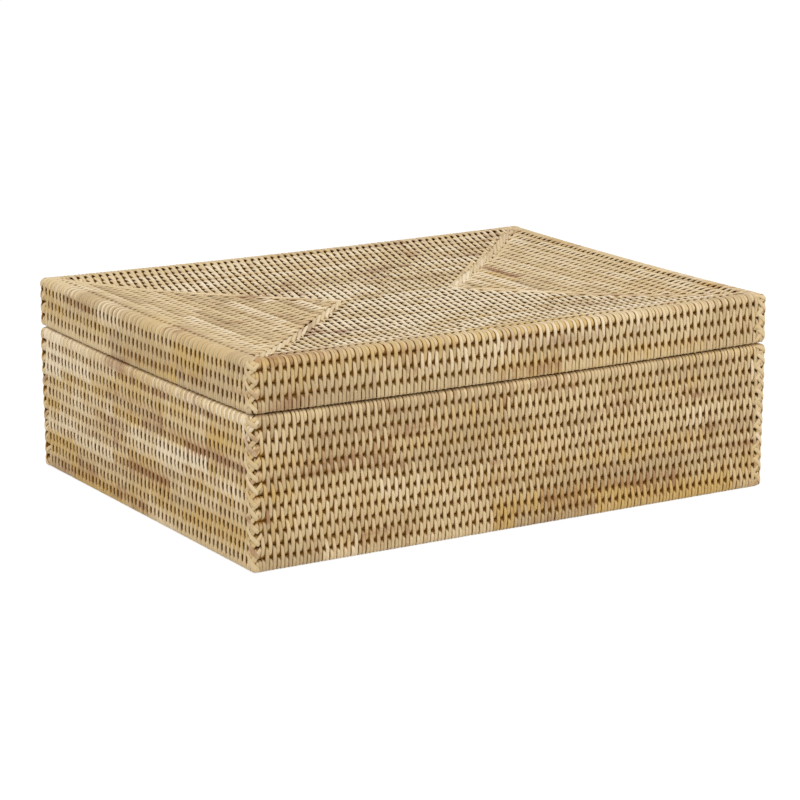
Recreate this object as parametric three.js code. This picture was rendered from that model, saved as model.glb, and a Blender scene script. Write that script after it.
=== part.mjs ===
// A lidded box of coiled cane. Courses stacked on each other make its walls, and courses laid inside each other
// round a spine make its floor and its lid top, so both show mitred corners.
// Millimetres, +Z up. The origin is under the middle of the floor, +X is the long side and -Y is the front.
import * as THREE from 'three';

// Plan, measured over the lashings on the corners
const BOX_LENGTH = 390;
const BOX_DEPTH = 303;
const CORNER_RADIUS = 3.5;
const INNER_CORNER_RADIUS = 1;
const CORNER_STEPS = 2;

// Clearance between two pieces that touch on the real box
const CLEARANCE = 0.3;

// Wall courses of the base, from the floor up
const WALL_THICKNESS = 8;
const COURSE_ROUND = 1.9;
const BOTTOM_COURSE_HEIGHT = 9.1;
const BOTTOM_EDGE_ROUND = 3.4;
const BODY_COURSE_HEIGHT = 7.95;
const BODY_COURSE_COUNT = 8;
const SHOULDER_COURSE_HEIGHT = 8.6;
const SHOULDER_COURSE_COUNT = 3;

// How far each wall of the base leans out from the floor to the mouth
const BASE_FLARE = 1;

// Wall courses and rim of the lid
const LID_INSET = 0.5;
const LID_COURSE_HEIGHT = 8.8;
const LID_COURSE_COUNT = 3;
const RIM_HEIGHT = 6.6;
const RIM_WIDTH = 11.4;
const RIM_ROUND = 4.4;

// Mitred panels: the floor lies flat, and the lid top sinks towards its spine
const PANEL_COURSE_COUNT = 17;
const PANEL_CORNER_STEPS = 1;
const PANEL_CORNER_RADIUS = 2;
const FLOOR_THICKNESS = 7.6;
const LID_TOP_THICKNESS = 7.6;
const LID_TOP_STEP_DOWN = 0.8;
const LID_TOP_SAG = 4;
const LID_TOP_SAG_REACH = 75;

// Bent lath inside the mouth of the base, which keeps the lid in line
const LIP_THICKNESS = 3;
const LIP_ABOVE_BASE = 10;
const LIP_BELOW_BASE = 22;
const LIP_CORNER_RADIUS = 2;
const LIP_TO_LID_CLEARANCE = 0.6;

// Cane lashed crosswise over each upright corner
const LASHING_THICKNESS = 0.8;
const LASHING_REACH = 6;
const LASHING_END_MARGIN = 1.5;
const LASHING_ARC_STEPS = 4;

// Heights and plans that follow from the sizes above
const wallLength = BOX_LENGTH - 2 * (LASHING_THICKNESS + CLEARANCE);
const wallDepth = BOX_DEPTH - 2 * (LASHING_THICKNESS + CLEARANCE);
const baseCourseHeights = [
  BOTTOM_COURSE_HEIGHT,
  ...Array(BODY_COURSE_COUNT).fill(BODY_COURSE_HEIGHT),
  ...Array(SHOULDER_COURSE_COUNT).fill(SHOULDER_COURSE_HEIGHT),
];
const baseHeight = baseCourseHeights.reduce((sum, height) => sum + height, 0);
const lidLength = wallLength - 2 * LID_INSET;
const lidDepth = wallDepth - 2 * LID_INSET;
const lidWallThickness = WALL_THICKNESS + CLEARANCE - LIP_TO_LID_CLEARANCE - LID_INSET;
const rimBottom = baseHeight + LID_COURSE_COUNT * LID_COURSE_HEIGHT;
const boxHeight = rimBottom + RIM_HEIGHT;

// Finishes
const cane = new THREE.MeshStandardMaterial({ color: 0xcbb083, roughness: 0.55, metalness: 0 });
const darkCane = new THREE.MeshStandardMaterial({ color: 0xb8955f, roughness: 0.6, metalness: 0 });
const lath = new THREE.MeshStandardMaterial({ color: 0xc2a26c, roughness: 0.6, metalness: 0 });

// The outline of a rectangle with round corners, set in by inset, walked anticlockwise as seen from above
function outline(length, depth, inset, radius, steps) {
  const points = [];
  for (let corner = 0; corner < 4; corner += 1) {
    for (let step = 0; step <= steps; step += 1) {
      const angle = (corner + step / steps) * Math.PI / 2;
      const signX = corner === 0 || corner === 3 ? 1 : -1;
      const signY = corner < 2 ? 1 : -1;
      points.push([
        signX * (length / 2 - inset - radius) + radius * Math.cos(angle),
        signY * (depth / 2 - inset - radius) + radius * Math.sin(angle),
      ]);
    }
  }
  return points;
}

// A section swept round the outline. Section points are [inset, height]: up the outside, in, and down the inside.
// An open section makes a slab, closed by a flat fan over its first and last loop.
function sweepRound(section, plan, closed) {
  const widest = Math.max(...section.map(([inset]) => inset));
  const loops = section.map(([inset, height]) => {
    const share = closed ? inset / widest : 0;
    const radius = plan.outerRadius + (plan.innerRadius - plan.outerRadius) * share;
    return outline(plan.length, plan.depth, inset, radius, plan.steps).map(([x, y]) => [x, y, height]);
  });
  const around = loops[0].length;
  const triangles = [];
  const bands = closed ? loops.length : loops.length - 1;
  for (let band = 0; band < bands; band += 1) {
    const low = band * around;
    const high = ((band + 1) % loops.length) * around;
    for (let step = 0; step < around; step += 1) {
      const next = (step + 1) % around;
      triangles.push(low + step, low + next, high + next);
      triangles.push(low + step, high + next, high + step);
    }
  }
  if (!closed) {
    const top = (loops.length - 1) * around;
    for (let step = 1; step < around - 1; step += 1) {
      triangles.push(0, step + 1, step);
      triangles.push(top, top + step, top + step + 1);
    }
  }
  const geometry = new THREE.BufferGeometry();
  geometry.setAttribute('position', new THREE.Float32BufferAttribute(loops.flat(2), 3));
  geometry.setIndex(triangles);
  geometry.computeVertexNormals();
  return geometry;
}

// The section of one bound course: a bar with eased edges, whose lower outer edge can be rounder
function courseSection(width, height, lowerOuterRound = COURSE_ROUND) {
  const round = COURSE_ROUND;
  return [
    [0, lowerOuterRound],
    [0, height - round],
    [round, height],
    [width - round, height],
    [width, height - round],
    [width, round],
    [width - round, 0],
    [lowerOuterRound, 0],
  ];
}

// The section of the lid's rim: rounded over its outer top edge, eased elsewhere
function rimSection() {
  const height = RIM_HEIGHT;
  const middle = Math.SQRT1_2 * RIM_ROUND;
  return [
    [0, COURSE_ROUND / 2],
    [0, height - RIM_ROUND],
    [RIM_ROUND - middle, height - RIM_ROUND + middle],
    [RIM_ROUND, height],
    [RIM_WIDTH - COURSE_ROUND, height],
    [RIM_WIDTH, height - COURSE_ROUND],
    [RIM_WIDTH, COURSE_ROUND],
    [RIM_WIDTH - COURSE_ROUND, 0],
    [COURSE_ROUND / 2, 0],
  ];
}

function addPiece(group, name, geometry, material, height = 0) {
  const piece = new THREE.Mesh(geometry, material);
  piece.name = name;
  piece.position.z = height;
  group.add(piece);
  return piece;
}

const twoDigits = (number) => String(number).padStart(2, '0');

// How far a wall of the base is set in at some height, against its place at the mouth
const flareInset = (height) => BASE_FLARE * (1 - height / baseHeight);

// Walls: courses stacked from the floor up, each a little wider than the one below
function addBaseWall(group) {
  let height = 0;
  baseCourseHeights.forEach((courseHeight, index) => {
    const inset = flareInset(height + courseHeight / 2);
    const plan = {
      length: wallLength - 2 * inset,
      depth: wallDepth - 2 * inset,
      outerRadius: CORNER_RADIUS,
      innerRadius: INNER_CORNER_RADIUS,
      steps: CORNER_STEPS,
    };
    const round = index === 0 ? BOTTOM_EDGE_ROUND : COURSE_ROUND;
    const section = courseSection(WALL_THICKNESS, courseHeight - CLEARANCE, round);
    addPiece(group, `base_wall_course_${twoDigits(index + 1)}`, sweepRound(section, plan, true), cane, height);
    height += courseHeight;
  });
}

function addLidWall(group) {
  const plan = {
    length: lidLength,
    depth: lidDepth,
    outerRadius: CORNER_RADIUS - LID_INSET,
    innerRadius: INNER_CORNER_RADIUS,
    steps: CORNER_STEPS,
  };
  for (let index = 0; index < LID_COURSE_COUNT; index += 1) {
    const section = courseSection(lidWallThickness, LID_COURSE_HEIGHT - CLEARANCE);
    const height = baseHeight + index * LID_COURSE_HEIGHT;
    addPiece(group, `lid_wall_course_${twoDigits(index + 1)}`, sweepRound(section, plan, true), cane, height);
  }
  addPiece(group, 'lid_rim', sweepRound(rimSection(), plan, true), cane, rimBottom);
}

// A mitred panel: courses laid inside each other, each a clearance from the last, round a spine in the middle
function addPanel(group, name, length, depth, thickness, heightAt) {
  const pitch = depth / 2 / PANEL_COURSE_COUNT;
  for (let index = 0; index < PANEL_COURSE_COUNT; index += 1) {
    const inset = index * pitch;
    const plan = {
      length: length - 2 * inset,
      depth: depth - 2 * inset,
      outerRadius: PANEL_CORNER_RADIUS,
      innerRadius: INNER_CORNER_RADIUS,
      steps: PANEL_CORNER_STEPS,
    };
    const height = heightAt(inset + pitch / 2);
    const isSpine = index === PANEL_COURSE_COUNT - 1;
    if (isSpine) {
      const section = [
        [COURSE_ROUND, 0],
        [0, COURSE_ROUND],
        [0, thickness - COURSE_ROUND],
        [COURSE_ROUND, thickness],
      ];
      addPiece(group, `${name}_spine`, sweepRound(section, plan, false), cane, height);
    } else {
      const section = courseSection(pitch - CLEARANCE, thickness);
      addPiece(group, `${name}_course_${twoDigits(index + 1)}`, sweepRound(section, plan, true), cane, height);
    }
  }
}

function addFloor(group) {
  const inset = BASE_FLARE + WALL_THICKNESS + CLEARANCE;
  addPanel(group, 'floor', wallLength - 2 * inset, wallDepth - 2 * inset, FLOOR_THICKNESS, () => 0);
}

function addLidTop(group) {
  const inset = RIM_WIDTH + CLEARANCE;
  const heightAt = (distance) => {
    const left = Math.max(0, 1 - distance / LID_TOP_SAG_REACH);
    const sunk = LID_TOP_STEP_DOWN + LID_TOP_SAG * (1 - left * left);
    return boxHeight - sunk - LID_TOP_THICKNESS;
  };
  addPanel(group, 'lid_top', lidLength - 2 * inset, lidDepth - 2 * inset, LID_TOP_THICKNESS, heightAt);
}

function addLip(group) {
  const inset = WALL_THICKNESS + CLEARANCE;
  const plan = {
    length: wallLength - 2 * inset,
    depth: wallDepth - 2 * inset,
    outerRadius: LIP_CORNER_RADIUS,
    innerRadius: INNER_CORNER_RADIUS,
    steps: PANEL_CORNER_STEPS,
  };
  const height = LIP_ABOVE_BASE + LIP_BELOW_BASE;
  const section = [[0, 0], [0, height], [LIP_THICKNESS, height], [LIP_THICKNESS, 0]];
  addPiece(group, 'base_lip', sweepRound(section, plan, true), lath, baseHeight - LIP_BELOW_BASE);
}

// A lashing: a thin strip bent round one corner, with a short reach along both walls, leaning out by lean at its top
function lashingGeometry(cornerRadius, height, lean) {
  const inner = cornerRadius + CLEARANCE;
  const outer = inner + LASHING_THICKNESS;
  const shape = new THREE.Shape();
  shape.moveTo(inner, -LASHING_REACH);
  shape.lineTo(outer, -LASHING_REACH);
  shape.lineTo(outer, 0);
  shape.absarc(0, 0, outer, 0, Math.PI / 2, false);
  shape.lineTo(-LASHING_REACH, outer);
  shape.lineTo(-LASHING_REACH, inner);
  shape.lineTo(0, inner);
  shape.absarc(0, 0, inner, Math.PI / 2, 0, true);
  const geometry = new THREE.ExtrudeGeometry(shape, {
    depth: height,
    bevelEnabled: false,
    curveSegments: LASHING_ARC_STEPS,
  });
  const slope = lean / height;
  return geometry.applyMatrix4(new THREE.Matrix4().makeShear(0, 0, 0, 0, slope, slope));
}

function addLashings(group, name, length, depth, cornerRadius, bottom, top, lean) {
  const corners = [
    ['rear_right', 1, 1, 0],
    ['rear_left', -1, 1, 1],
    ['front_left', -1, -1, 2],
    ['front_right', 1, -1, 3],
  ];
  for (const [place, signX, signY, quarter] of corners) {
    const geometry = lashingGeometry(cornerRadius, top - bottom, lean);
    const piece = addPiece(group, `${name}_lashing_${place}`, geometry, darkCane, bottom);
    piece.position.x = signX * (length / 2 - cornerRadius);
    piece.position.y = signY * (depth / 2 - cornerRadius);
    piece.rotation.z = quarter * Math.PI / 2;
  }
}

const base = new THREE.Group();
addBaseWall(base);
addFloor(base);
addLip(base);
const lashingTop = baseHeight - CLEARANCE - LASHING_END_MARGIN;
const lashingInset = flareInset(BOTTOM_EDGE_ROUND);
addLashings(
  base,
  'base',
  wallLength - 2 * lashingInset,
  wallDepth - 2 * lashingInset,
  CORNER_RADIUS,
  BOTTOM_EDGE_ROUND,
  lashingTop,
  lashingInset - flareInset(lashingTop),
);

const lid = new THREE.Group();
addLidWall(lid);
addLidTop(lid);
addLashings(
  lid,
  'lid',
  lidLength,
  lidDepth,
  CORNER_RADIUS - LID_INSET,
  baseHeight + LASHING_END_MARGIN,
  boxHeight - RIM_ROUND,
  0,
);

const box = new THREE.Group();
box.add(base, lid);

export default box;
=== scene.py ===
# %% [markdown]
# # A coiled cane box with a lift-off lid
# The box is made the way a coiled basket is made. Rods of cane are laid one on another, or one beside
# another on the lid and the floor, and narrow strips of split cane bind each course to the last. The CAD
# frame holds every course at its real size. This lesson dresses that frame with the rods, the thousands
# of strips and their finish.

# %% Load the frame
import math

import bpy
import numpy as np
from mathutils import Matrix, Vector


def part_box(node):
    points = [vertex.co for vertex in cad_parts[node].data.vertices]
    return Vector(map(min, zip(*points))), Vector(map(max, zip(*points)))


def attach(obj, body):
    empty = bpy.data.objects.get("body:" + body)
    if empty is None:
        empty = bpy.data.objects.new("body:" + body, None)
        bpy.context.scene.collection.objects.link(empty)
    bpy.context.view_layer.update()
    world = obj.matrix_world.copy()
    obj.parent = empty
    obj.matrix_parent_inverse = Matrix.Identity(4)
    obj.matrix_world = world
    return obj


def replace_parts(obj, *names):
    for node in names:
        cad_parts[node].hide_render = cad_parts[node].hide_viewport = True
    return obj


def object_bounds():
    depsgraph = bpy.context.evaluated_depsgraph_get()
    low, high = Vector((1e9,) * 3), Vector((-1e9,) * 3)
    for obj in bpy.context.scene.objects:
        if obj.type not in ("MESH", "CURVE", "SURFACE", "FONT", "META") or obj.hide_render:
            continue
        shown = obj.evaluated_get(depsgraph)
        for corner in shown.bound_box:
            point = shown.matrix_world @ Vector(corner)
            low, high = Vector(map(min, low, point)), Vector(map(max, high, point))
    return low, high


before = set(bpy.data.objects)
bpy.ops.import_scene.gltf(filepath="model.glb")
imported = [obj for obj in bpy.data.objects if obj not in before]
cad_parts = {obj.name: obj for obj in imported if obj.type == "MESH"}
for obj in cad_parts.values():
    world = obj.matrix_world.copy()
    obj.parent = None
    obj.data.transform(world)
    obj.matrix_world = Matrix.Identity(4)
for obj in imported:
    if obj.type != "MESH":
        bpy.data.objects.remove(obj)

cad_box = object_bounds()
MM = 0.001
UP = np.array([0.0, 0.0, 1.0])
print("CAD box in metres:", [round(v, 4) for corner in cad_box for v in corner])

# %% [markdown]
# ## The camera
# A photograph fixes the camera by its perspective: how fast the edges of the box draw together gives the
# distance, and the size of the box in the picture then gives the lens. A long lens from about two metres
# matches here. The camera looks at the middle of the box from the left of its front and a little above.

# %% Camera
IMAGE_SIDE = 800
FOCAL_PIXELS = 2871
CAMERA_YAW = math.radians(-31.31)
CAMERA_PITCH = math.radians(13.69)
CAMERA_DISTANCE = 1.9336
CAMERA_SLIDE_RIGHT = 0.00125
CAMERA_SLIDE_UP = -0.01244


def put(name, data):
    """A new object in the scene that shows that data."""
    made = bpy.data.objects.new(name, data)
    bpy.context.scene.collection.objects.link(made)
    return made


def make_camera():
    middle = Vector((0, 0, (cad_box[0].z + cad_box[1].z) / 2))
    back = Vector((
        math.sin(CAMERA_YAW) * math.cos(CAMERA_PITCH),
        -math.cos(CAMERA_YAW) * math.cos(CAMERA_PITCH),
        math.sin(CAMERA_PITCH),
    ))
    right = Vector((math.cos(CAMERA_YAW), math.sin(CAMERA_YAW), 0))
    up = back.cross(right)
    place = middle + back * CAMERA_DISTANCE + right * CAMERA_SLIDE_RIGHT + up * CAMERA_SLIDE_UP
    data = bpy.data.cameras.new("camera")
    data.lens = FOCAL_PIXELS / IMAGE_SIDE * data.sensor_width
    camera = put("camera", data)
    turn = Matrix((right, up, back)).transposed().to_4x4()
    camera.matrix_world = Matrix.Translation(place) @ turn
    bpy.context.scene.camera = camera
    return camera


camera = make_camera()
print("camera at", [round(v, 3) for v in camera.matrix_world.translation])
print("lens", round(camera.data.lens, 1), "mm")

# %% [markdown]
# ## Writing shaders as sums
# A shader is a graph of nodes, and a graph is slow to write node by node. The small class below wraps one
# socket. A sum on wrapped sockets adds Math nodes, so `1 - edge * 0.3` reads as it would on paper. Any
# other node comes from one method, which sets the node's settings first and its sockets after.

# %% A socket that can be used in sums
class Wire:
    """One output socket of a node tree."""

    def __init__(self, tree, socket=None):
        self.tree = tree
        self.socket = socket

    def node(self, kind, settings=None, sockets=None, output=0):
        made = self.tree.nodes.new(kind)
        for name, value in (settings or {}).items():
            setattr(made, name, value)
        for name, value in (sockets or {}).items():
            if isinstance(value, Wire):
                self.tree.links.new(value.socket, made.inputs[name])
            else:
                made.inputs[name].default_value = value
        return Wire(self.tree, made.outputs[output]) if len(made.outputs) else None

    def maths(self, operation, first, second):
        return self.node("ShaderNodeMath", {"operation": operation}, {0: first, 1: second})

    def __add__(self, other):
        return self.maths("ADD", self, other)

    def __sub__(self, other):
        return self.maths("SUBTRACT", self, other)

    def __rsub__(self, other):
        return self.maths("SUBTRACT", other, self)

    def __mul__(self, other):
        return self.maths("MULTIPLY", self, other)

    __radd__ = __add__
    __rmul__ = __mul__

    def parts(self):
        """The three parts of a vector."""
        return [self.node("ShaderNodeSeparateXYZ", {}, {"Vector": self}, axis) for axis in "XYZ"]

    def ease(self, low, high):
        """0 below low, 1 above high and a smooth step between."""
        limits = {"Value": self, "From Min": low, "From Max": high}
        return self.node("ShaderNodeMapRange", {"interpolation_type": "SMOOTHSTEP"}, limits)

    def blend(self, first, second):
        """The first colour where this wire is 0, the second where it is 1."""
        return self.node("ShaderNodeMix", {"data_type": "RGBA"}, {0: self, 6: first, 7: second}, 2)

    def shade(self, colour):
        """The colour made darker or lighter by this wire."""
        grey = self.node("ShaderNodeCombineColor", {}, {0: self, 1: self, 2: self})
        multiply = {"data_type": "RGBA", "blend_type": "MULTIPLY"}
        return self.node("ShaderNodeMix", multiply, {0: 1.0, 6: colour, 7: grey}, 2)


def new_material(name):
    material = bpy.data.materials.new(name)
    material.use_nodes = True
    material.node_tree.nodes.clear()
    return material, Wire(material.node_tree)


def srgb(red, green, blue):
    """A colour as picked from a screen, 0 to 255, in the linear values that shaders use."""
    linear = [((c / 255 + 0.055) / 1.055) ** 2.4 for c in (red, green, blue)]
    return (*linear, 1.0)


print("a mid straw in linear values:", [round(c, 3) for c in srgb(205, 178, 130)])

# %% [markdown]
# ## Floor and light
# The box is photographed in a white studio with large soft lamps. The floor's colour does the work of the
# white background: camera rays see it glow white, with enough plain reflection left over to show the soft
# shadow. Other rays see an ordinary pale floor, so the box isn't lit by a trick. One large lamp from the
# upper left makes the lid brightest, then the left end, then the front, and an even sky fills the shadows.

# %% Floor
FLOOR_REACH = 9.0
FLOOR_GREY = (0.80, 0.80, 0.80, 1)
FLOOR_SHADOW = (0.30, 0.30, 0.30, 1)
FLOOR_GLOW = 0.82


def seen_directly(wire):
    """1 for rays that come straight from the camera, or by way of a gloss or a glass."""
    outputs = wire.node("ShaderNodeLightPath").socket.node.outputs
    names = ("Is Camera Ray", "Is Glossy Ray", "Is Transmission Ray")
    straight, gloss, glass = (Wire(wire.tree, outputs[name]) for name in names)
    return wire.maths("MAXIMUM", wire.maths("MAXIMUM", straight, gloss), glass)


def make_floor():
    mesh = bpy.data.meshes.new("floor")
    corners = [(x * FLOOR_REACH, y * FLOOR_REACH, 0) for x, y in ((-1, -1), (1, -1), (1, 1), (-1, 1))]
    mesh.from_pydata(corners, [], [(0, 1, 2, 3)])
    material, wire = new_material("studio_floor")
    plain = wire.node("ShaderNodeBsdfDiffuse", {}, {"Color": FLOOR_GREY})
    faint = wire.node("ShaderNodeBsdfDiffuse", {}, {"Color": FLOOR_SHADOW})
    glow = wire.node("ShaderNodeEmission", {}, {"Strength": FLOOR_GLOW})
    white = wire.node("ShaderNodeAddShader", {}, {0: faint, 1: glow})
    both = wire.node("ShaderNodeMixShader", {}, {0: seen_directly(wire), 1: plain, 2: white})
    wire.node("ShaderNodeOutputMaterial", {}, {"Surface": both})
    mesh.materials.append(material)
    put("floor", mesh)


make_floor()
print("floor", 2 * FLOOR_REACH, "m wide")

# %% Lamps and sky
SKY_STRENGTH = 0.62
KEY_LAMP = {"place": (-1.28, -0.88, 2.08), "size": 1.3, "power": 30.0}
FILL_LAMP = {"place": (1.30, -1.20, 0.80), "size": 1.3, "power": 11.5}


def make_lamp(name, place, size, power):
    data = bpy.data.lights.new(name, "AREA")
    data.shape = "DISK"
    data.size = size
    data.energy = power
    lamp = put(name, data)
    lamp.location = place
    lamp.rotation_euler = (-Vector(place)).to_track_quat("-Z", "Y").to_euler()


def make_sky():
    world = bpy.data.worlds.new("sky")
    bpy.context.scene.world = world
    world.use_nodes = True
    world.node_tree.nodes.clear()
    wire = Wire(world.node_tree)
    strength = seen_directly(wire) * (1 - SKY_STRENGTH) + SKY_STRENGTH
    sky = wire.node("ShaderNodeBackground", {}, {"Color": (1, 1, 1, 1), "Strength": strength})
    wire.node("ShaderNodeOutputWorld", {}, {"Surface": sky})


make_sky()
make_lamp("key_lamp", **KEY_LAMP)
make_lamp("fill_lamp", **FILL_LAMP)
bpy.context.scene.view_settings.view_transform = "Standard"
print("sky strength", SKY_STRENGTH, "and lamps of", KEY_LAMP["power"], "and", FILL_LAMP["power"], "W")

# %% [markdown]
# ## The finish of split cane
# Split cane is the hard skin of a climbing palm, shaved flat. It is straw coloured with a satin sheen, and
# its fibres run along the strip. Most strips are straw, some are bleached, some golden and a few stained
# reddish brown, and sun and damp leave clouds of gold and brown that run along the courses. Every strip
# carries two vectors that the finish reads: its grain (place across the strip, distance along it and depth
# in the weave, with painted shade added on the flanks) and its tint (tone, gold and stain). Painted shade
# makes what lies deep between the courses and on the strips' flanks browner, less so on bleached strips,
# and a little painted shade darkens each strip towards its edges. What lies deep is also rougher. A painted
# picture could do the same, but it would blur from close by and would have to be laid out on thousands of
# strips.

# %% Colours of the cane
PALE_CANE = srgb(234, 216, 184)
STRAW_CANE = srgb(212, 187, 143)
DULL_CANE = srgb(187, 162, 122)
GOLD_CANE = srgb(200, 167, 103)
STAINED_CANE = srgb(152, 108, 72)
# Painted shade: the browns that stand in for the shade deep in the holes, on raw and on bleached strips.
DEEP_SHADE_CANE = srgb(163, 115, 34)
DEEP_SHADE_BLEACHED = srgb(146, 112, 60)
DULL_TO_STRAW = (-1.0, 0.1)
STRAW_TO_PALE = (0.1, 1.2)
STRAW_TO_GOLD = (0.45, 1.10)
CLEAN_TO_STAINED = (0.56, 0.90)
BLEACHED_TO_RAW = (-0.3, 0.0)
# Depths in mm over which that painted shade comes in.
OPEN_TO_DEEP_SHADE = (0.8, 2.2)
print("cane from", [round(c, 2) for c in DEEP_SHADE_CANE], "to", [round(c, 2) for c in PALE_CANE])

# %% Cane finish
GRAIN = "strip_grain"
TINT = "strip_tint"
FIBRES_ACROSS = 4.0
FIBRES_PER_METRE = 150.0
FIBRE_SHIFT = 60.0
FIBRE_NOISE = {"Scale": 1.0, "Detail": 3.0, "Roughness": 0.65}
FIBRE_BUMP = {"Strength": 0.35, "Distance": 0.2 * MM}
CLOUD_SHAPE = (0.4, 0.4, 2.6)
SUN_NOISE = {"Scale": 20.0, "Detail": 2.0}
DAMP_NOISE = {"Scale": 36.0, "Detail": 2.0}
SPOT_NOISE = {"Scale": 900.0, "Detail": 2.0}
SPOT_STRENGTH = 0.2
STAIN_STRENGTH = 0.8
MEAN_SHADE = 0.835
FIBRE_SHADE = 0.32
# Painted shade: how much darker each strip is painted towards its edges, where it meets its neighbours.
EDGE_PAINTED_SHADE = 0.12
FIBRE_GLOSS = 0.25
DEEP_ROUGHNESS = 0.4
CANE_SPECULAR = 0.32


def cane_finish(name, roughness):
    material, wire = new_material(name)
    grain = wire.node("ShaderNodeAttribute", {"attribute_name": GRAIN}, {}, "Vector")
    tint = wire.node("ShaderNodeAttribute", {"attribute_name": TINT}, {}, "Vector")
    across, along, depth = grain.parts()
    tone, gold, stain = tint.parts()
    place = wire.node("ShaderNodeCombineXYZ", {}, {
        "X": across * FIBRES_ACROSS, "Y": along * FIBRES_PER_METRE, "Z": tone * FIBRE_SHIFT,
    })
    fibre = wire.node("ShaderNodeTexNoise", {}, {"Vector": place, **FIBRE_NOISE})
    box = wire.node("ShaderNodeTexCoord", {}, {}, "Object")
    level = wire.node("ShaderNodeMapping", {}, {"Vector": box, "Scale": CLOUD_SHAPE})
    spot = wire.node("ShaderNodeTexNoise", {}, {"Vector": box, **SPOT_NOISE})
    sun = wire.node("ShaderNodeTexNoise", {}, {"Vector": level, **SUN_NOISE})
    damp = wire.node("ShaderNodeTexNoise", {}, {"Vector": level, **DAMP_NOISE})
    straw = tone.ease(*DULL_TO_STRAW).blend(DULL_CANE, STRAW_CANE)
    straw = tone.ease(*STRAW_TO_PALE).blend(straw, PALE_CANE)
    straw = (gold + sun).ease(*STRAW_TO_GOLD).blend(straw, GOLD_CANE)
    stained = stain + damp + (spot - 0.5) * SPOT_STRENGTH
    colour = (stained.ease(*CLEAN_TO_STAINED) * STAIN_STRENGTH).blend(straw, STAINED_CANE)
    # Painted shade: each strip is darker towards its edges.
    edge = across * across * across * across
    colour = (MEAN_SHADE + fibre * FIBRE_SHADE - edge * EDGE_PAINTED_SHADE).shade(colour)
    # Painted shade: deeper in the weave, and lower on a strip's flank, the colour turns to the brown of the
    # holes' shade.
    deep = (depth * -1.0).ease(*OPEN_TO_DEEP_SHADE)
    colour = deep.blend(colour, gold.ease(*BLEACHED_TO_RAW).blend(DEEP_SHADE_BLEACHED, DEEP_SHADE_CANE))
    surface = wire.node("ShaderNodeBsdfPrincipled", {}, {
        "Base Color": colour,
        "Roughness": roughness + (fibre - 0.5) * FIBRE_GLOSS + deep * DEEP_ROUGHNESS,
        "Specular IOR Level": CANE_SPECULAR,
        "Normal": wire.node("ShaderNodeBump", {}, {**FIBRE_BUMP, "Height": fibre}),
    })
    wire.node("ShaderNodeOutputMaterial", {}, {"Surface": surface})
    return material


cane = cane_finish("split_cane", 0.50)
lashing_cane = cane_finish("lashing_cane", 0.46)
print("finishes:", cane.name, lashing_cane.name)

# %% [markdown]
# ## The finish of plain rods and laths
# Between the strips a little of the rod inside each course shows, as dark brown cane in the shade of the
# holes. The lip inside the mouth is a plain lath with a fine grain that runs round the box. One finish does
# for both: two colours mixed by a noise, which also roughens the surface. Each has numbers of its own.

# %% Rod finish
ROD_DARK = srgb(143, 99, 26)
ROD_LIGHT = srgb(168, 118, 38)


def plain_finish(name, noise, limits, colours, bump, roughness, stretch=None):
    """limits are where the noise changes from the first colour to the second. roughness is the least, and
    what the noise adds. stretch, if given, draws the noise out along the box's axes."""
    material, wire = new_material(name)
    if stretch:
        place = wire.node("ShaderNodeTexCoord", {}, {}, "Object")
        noise = {**noise, "Vector": wire.node("ShaderNodeMapping", {}, {"Vector": place, "Scale": stretch})}
    grain = wire.node("ShaderNodeTexNoise", {}, noise)
    surface = wire.node("ShaderNodeBsdfPrincipled", {}, {
        "Base Color": grain.ease(*limits).blend(*colours),
        "Roughness": roughness[0] + grain * roughness[1],
        "Normal": wire.node("ShaderNodeBump", {}, {**bump, "Height": grain}),
    })
    wire.node("ShaderNodeOutputMaterial", {}, {"Surface": surface})
    return material


rod_cane = plain_finish(
    "rod_cane",
    noise={"Scale": 260.0, "Detail": 3.0},
    limits=(0.3, 0.75),
    colours=(ROD_DARK, ROD_LIGHT),
    bump={"Strength": 0.4, "Distance": 0.3 * MM},
    roughness=(0.75, 0.1),
)
print("finish:", rod_cane.name)

# %% [markdown]
# ## Many strips in one mesh
# A strip could be a curve with a bevel, but thousands of curve objects are slow. Here every strip is a
# closed tube with a flat crowned section, worked out for all strips at once as arrays: strips by steps
# along by points round. A bundle collects such arrays and turns them into one mesh. It also gives each
# strip its own cell in a UV map, so that the finish of every strip can be baked without overlap.

# %% Sections and ribbons
FINE_SECTION = (
    (-1.00, -1.00), (-0.90, -0.28), (-0.40, -0.02), (0.40, -0.02), (0.90, -0.28), (1.00, -1.00),
)
PLAIN_SECTION = ((-1.00, -1.00), (-0.80, -0.30), (0.00, 0.00), (0.80, -0.30), (1.00, -1.00))


def unit(vectors):
    return vectors / np.linalg.norm(vectors, axis=-1, keepdims=True)


def ribbon(middles, normals, left, right, section, tilt=0.0):
    """Tubes along the middles, (strips, steps, 3), that reach from left to right of them in metres."""
    forward = unit(np.gradient(middles, axis=1))
    sideways = unit(np.cross(forward, normals))
    across = np.array([a for a, _ in section])
    lift = np.array([h for _, h in section]) * MM
    offset = left[..., None] + (right - left)[..., None] * (across + 1) / 2
    rise = lift + tilt * across
    aside = sideways[:, :, None] * offset[..., None]
    return middles[:, :, None] + aside + normals[:, :, None] * rise[:, None]


print("section points:", len(FINE_SECTION), "on show and", len(PLAIN_SECTION), "inside")

# %% Faces and UV cells
CELL_MARGIN = 0.06
CAP_SHARE = 0.7


def strip_faces(rings, first):
    """Corner vertices of the sides and of the two end caps of each strip."""
    strips, steps, points = rings.shape[:3]
    index = first + np.arange(strips * steps * points).reshape(strips, steps, points)
    onward = np.roll(index, -1, axis=2)
    sides = np.stack([index[:, :-1], onward[:, :-1], onward[:, 1:], index[:, 1:]], axis=-1)
    caps = np.stack([index[:, 0, ::-1], index[:, -1]], axis=1)
    return sides.reshape(-1, 4), caps.reshape(-1, points)


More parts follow.
